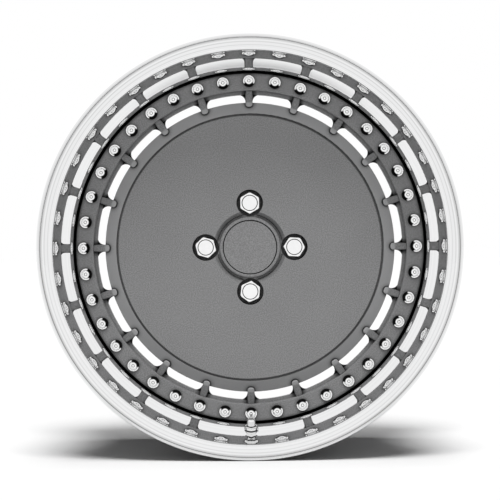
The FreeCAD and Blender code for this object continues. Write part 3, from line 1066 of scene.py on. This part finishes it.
@dataclass
class AssemblyBolts:
    """Ring of twelve-point flange bolts, with washers and nuts behind the barrel's flange."""

    rim: RimSizes
    count: int = 40
    first: float = 90.0
    diameter: float = 7.0
    flange_diameter: float = 13.5
    flange_height: float = 1.4
    head_across: float = 8.4
    head_height: float = 3.6
    flat_diameter: float = 7.0
    dimple_diameter: float = 3.8
    washer_thickness: float = 1.2
    washer_diameter: float = 13.0
    nut_height: float = 6.5
    nut_across: float = 11.0
    tail: float = 2.0
    sides: int = 48

    def _skin(self, name: str, plan: Plan, capped: bool) -> Piece:
        """Skin one fastener on its circle at azimuth 0.

        Args:
            name: name of the piece.
            plan: radius and depth of each ring, in millimetres.
            capped: whether its ends are closed.

        Returns:
            The new object.
        """
        front = self.rim.front
        middle = self.rim.bolt_circle
        work = bmesh.new()
        rings = [ring_points(radius, front + depth, self.sides, middle) for radius, depth in plan]
        stack(work, rings, capped)
        return close_mesh(name, work)

    def _star(self, angle: float) -> float:
        """Radius of a twelve-point head: the outer of two crossed hexagons."""
        outline = hexagon(self.head_across)
        return max(outline(angle), outline(angle + math.pi / 6.0))

    def bolt(self) -> Piece:
        """One bolt at azimuth 0.

        Returns:
            The bolt, skinned from its tail to the dimple in its head.
        """
        face = self.rim.lip_depth
        top = face - self.flange_height - self.head_height
        shank = self.diameter / 2.0
        flange = self.flange_diameter / 2.0
        end = self.rim.barrel_back + self.washer_thickness + self.nut_height + self.tail
        base = face - self.flange_height
        plan: Plan = [
            (shank - 0.7, end),
            (shank, end - 0.7),
            (shank, face),
            (flange - 0.2, face),
            (flange, face - 0.2),
            (flange, face - 0.5 * self.flange_height),
            (flange - 0.3, face - 0.8 * self.flange_height),
            (self.head_across / 2.0 + 1.0, base),
            (self._star, base + 0.2),
            (self._star, top + 0.7),
            (self.flat_diameter / 2.0, top + 0.1),
            (self.flat_diameter / 2.0 - 0.2, top),
            (self.dimple_diameter / 2.0, top),
            (self.dimple_diameter / 2.0 - 0.3, top + 0.6),
            (self.dimple_diameter / 2.0 - 0.7, top + 0.3),
            (0.35, top + 0.2),
        ]
        return self._skin("bolt_pattern_piece", plan, True)

    def washer(self) -> Piece:
        """One washer at azimuth 0.

        Returns:
            The washer, a tube.
        """
        start = self.rim.barrel_back
        back = start + self.washer_thickness
        bore = self.diameter / 2.0 + 0.2
        edge = self.washer_diameter / 2.0
        plan: Plan = [
            (bore, back),
            (edge - 0.2, back),
            (edge, back - 0.2),
            (edge, start + 0.1),
            (edge - 0.1, start),
            (bore, start),
            (bore, back),
        ]
        return self._skin("washer_piece", plan, False)

    def nut(self) -> Piece:
        """One nut at azimuth 0.

        Returns:
            The nut, a chamfered tube.
        """
        start = self.rim.barrel_back + self.washer_thickness
        back = start + self.nut_height
        bore = self.diameter / 2.0
        outline = hexagon(self.nut_across)
        inscribed = self.nut_across / 2.0
        plan: Plan = [
            (bore, back),
            (inscribed - 0.2, back),
            (outline, back - 0.7),
            (outline, start + 0.4),
            (inscribed, start),
            (bore, start),
            (bore, back),
        ]
        return self._skin("nut_piece", plan, False)

    def build(self, ring: RingOfCopies, bright: Finish, zinc: Finish) -> None:
        """Set the bolts, washers and nuts round the wheel.

        Args:
            ring: tree that repeats a piece.
            bright: finish of the bolts.
            zinc: finish of the washers and nuts.
        """
        bolts = ring.place("twelve_point_bolts", self.bolt(), self.count, self.first, bright)
        seat(bolts, "assembly_bolts")
        washers = ring.place("flange_washers", self.washer(), self.count, self.first, zinc)
        seat(washers, "assembly_washers")
        nuts = ring.place("flange_nuts", self.nut(), self.count, self.first, zinc)
        seat(nuts, "assembly_nuts")


@dataclass
class LugNuts:
    """Four closed lug nuts: a chamfered hexagon, a turned line round its top and a cone below."""

    rim: RimSizes
    count: int = 4
    circle: float = 100.0
    disc_rise: float = 7.0
    top_drop: float = 1.5
    across: float = 21.0
    line_diameter: float = 18.2
    line_width: float = 0.9
    line_depth: float = 1.5
    chamfer: float = 1.2
    pocket_depth: float = 19.0
    seat_diameter: float = 23.0
    nose: float = 6.2
    nose_angle: float = 30.0
    seat_gap: float = 0.5
    bore: float = 10.2
    roof: float = 5.0
    turns: tuple[float, ...] = (16.0, 0.0, 3.0, 6.0)
    sides: int = 96

    def _rings(self) -> list[list[Vector]]:
        """Rings of one nut on the axle line, from the middle of its top to the roof of its bore.

        Returns:
            Points of each ring, in metres.
        """
        disc = self.rim.front + self.rim.lip_depth - self.disc_rise
        top = disc + self.top_drop
        floor = disc + self.pocket_depth
        slope = math.tan(math.radians(self.nose_angle))
        seat_radius = self.seat_diameter / 2.0 - self.seat_gap * slope
        nose_start = floor + self.seat_gap
        corner = self.across / math.sqrt(3.0)
        edge = self.across / 2.0
        line = self.line_diameter / 2.0
        outline = hexagon(self.across)
        plan: Plan = [
            (0.6, top),
            (line - self.line_width, top),
            (line - 0.5 * self.line_width, top + self.line_depth),
            (line, top),
            (line + 0.5, top + 0.05),
            (outline, lambda reach: top + 0.25 + self.chamfer * (reach - edge) / (corner - edge)),
            (outline, floor - 2.0),
            (seat_radius, floor - 0.6),
            (seat_radius, nose_start),
            (seat_radius - self.nose * slope, nose_start + self.nose),
            (self.bore / 2.0, nose_start + self.nose),
            (self.bore / 2.0, top + self.roof),
        ]
        return [ring_points(radius, level, self.sides) for radius, level in plan]

    def build(self, finish: Finish) -> None:
        """Set the nuts in their pockets, each turned as it was tightened.

        Args:
            finish: the plating.
        """
        work = bmesh.new()
        for index in range(self.count):
            azimuth = math.radians(180.0 - 360.0 * index / self.count)
            spin = Matrix.Rotation(math.radians(self.turns[index % len(self.turns)]), 4, "Y")
            out = Matrix.Translation((self.circle / 2.0 * MM, 0.0, 0.0))
            turn = Matrix.Rotation(-azimuth, 4, "Y") @ out @ spin
            stack(work, [[turn @ point for point in ring] for ring in self._rings()])
        nuts = close_mesh("closed_lug_nuts", work)
        wear(nuts, finish)
        seat(nuts, "lug_nuts")


@dataclass(frozen=True)
class Lamp:
    """One broad lamp that lights wheel and floor evenly.

    Attributes:
        name: the lamp's name.
        place: the side that it shines from.
        power: watts for each square metre.
        spread: how wide it looks from the wheel, in degrees.
    """

    name: str
    place: Corner
    power: float
    spread: float

    def hang(self) -> None:
        """Put the lamp in the scene, unseen by the camera and by mirrors."""
        light = bpy.data.lights.new(self.name, "SUN")
        light.energy = self.power
        light.angle = math.radians(self.spread)
        made = bpy.data.objects.new(self.name, light)
        made.location = self.place
        made.rotation_euler = (-Vector(self.place)).to_track_quat("-Z", "Y").to_euler()
        made.visible_camera = False
        made.visible_glossy = False
        bpy.context.scene.collection.objects.link(made)


@dataclass
class Studio:
    """Pale floor, white surround, soft lamps and the camera."""

    rim: RimSizes
    camera_distance: float = 2000.0
    frame_scale: float = 1.085
    frame_size: int = 500
    centre_rise: float = 2.8
    roll: float = 0.4
    surround: float = 0.06
    lamps: tuple[Lamp, ...] = (
        Lamp("ceiling_front_lamp", (0.05, -1.25, 2.4), 2.015, 26.0),
        Lamp("ceiling_middle_lamp", (0.05, -0.60, 2.4), 0.715, 26.0),
        Lamp("ceiling_back_lamp", (0.05, 0.25, 2.4), 0.52, 24.0),
        Lamp("front_lamp", (0.20, -2.00, 0.7), 0.32, 40.0),
    )
    floor_colour: Shade = (0.98, 0.98, 0.98)
    floor_bounce: float = 0.45
    floor_reach: float = 30.0

    def floor(self) -> None:
        """Lay a pale floor under the wheel that keeps its shadow."""
        work = bmesh.new()
        level = -self.rim.flange_radius * MM
        for x, y in ((-1.0, -1.0), (1.0, -1.0), (1.0, 1.0), (-1.0, 1.0)):
            work.verts.new((x * self.floor_reach, y * self.floor_reach, level))
        work.faces.new(work.verts)
        made = close_mesh("studio_floor", work)
        material, bench = new_material("pale_floor")
        bounce = tuple(self.floor_bounce * part for part in self.floor_colour)
        colour = bench.mix(bounce, self.floor_colour, bench.in_view())
        close_surface(bench, {"Base Color": colour, "Roughness": 1.0, "Specular IOR Level": 0.0})
        wear(made, material)

    def world(self) -> None:
        """White surround for what is seen and mirrored, a plain level for the light."""
        world = bpy.data.worlds.new("studio")
        world.use_nodes = True
        bpy.context.scene.world = world
        bench = ShaderBench(world.node_tree)
        strength = self.surround + (1.0 - self.surround) * bench.in_view()
        light = {"Color": (1.0, 1.0, 1.0, 1.0), "Strength": strength}
        back = bench.node("ShaderNodeBackground", {}, light)
        bench.node("ShaderNodeOutputWorld", {}, {"Surface": back.outputs[0]})

    def camera(self) -> None:
        """Stand the camera square to the wheel at the height of its axle."""
        lens = bpy.data.cameras.new("camera")
        lens.sensor_width = 36.0
        lens.lens = 36.0 * self.camera_distance / (self.frame_scale * self.frame_size)
        lens.shift_y = -self.centre_rise / self.frame_size
        lens.clip_end = 100.0
        made = bpy.data.objects.new("camera", lens)
        made.location = (0.0, (self.rim.front - self.camera_distance) * MM, 0.0)
        made.rotation_euler = (math.radians(90.0), math.radians(self.roll), 0.0)
        bpy.context.scene.collection.objects.link(made)
        bpy.context.scene.camera = made

    def build(self) -> None:
        """Set the whole stage."""
        bpy.context.scene.view_settings.view_transform = "Standard"
        self.floor()
        self.world()
        for lamp in self.lamps:
            lamp.hang()
        self.camera()


def dress_nodes(nodes: dict[str, Piece], palette: Palette) -> None:
    """Give the CAD nodes that stay their finishes.

    Args:
        nodes: CAD objects by node name.
        palette: the wheel's finishes.
    """
    plan = {
        "wheel_centre": palette.centre,
        "inner_barrel": palette.barrel,
        "joint_seal": palette.sealant,
        "cap_body": palette.centre,
        "cap_disc": palette.cap_face,
        "cap_spring_ring": palette.spring,
        "valve_stem": palette.valve,
        "valve_grommet": palette.rubber,
        "valve_seal": palette.rubber,
        "valve_nut": palette.valve,
        "valve_core": palette.brass,
        "valve_cap": palette.valve,
        "valve_cap_seal": palette.rubber,
    }
    made: dict[str, Finish] = {}
    for node, finish in plan.items():
        if finish.name not in made:
            made[finish.name] = finish.make()
        for slot in nodes[node].material_slots:
            slot.material = made[finish.name]
        LOG.info("%s wears %s", node, finish.name)


def main() -> None:
    """Build the wheel's looks and its stage."""
    logging.basicConfig(level=logging.INFO, format="%(name)s: %(message)s")
    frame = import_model()
    palette = Palette()
    rim = RimSizes()
    dress_nodes(frame["nodes"], palette)
    OuterLip(rim).build(palette.lip.make())
    AssemblyBolts(rim).build(RingOfCopies(), palette.bolts.make(), palette.hardware.make())
    LugNuts(rim).build(palette.lug_nuts.make())
    Studio(rim).build()


if __name__ == "__main__":
    main()
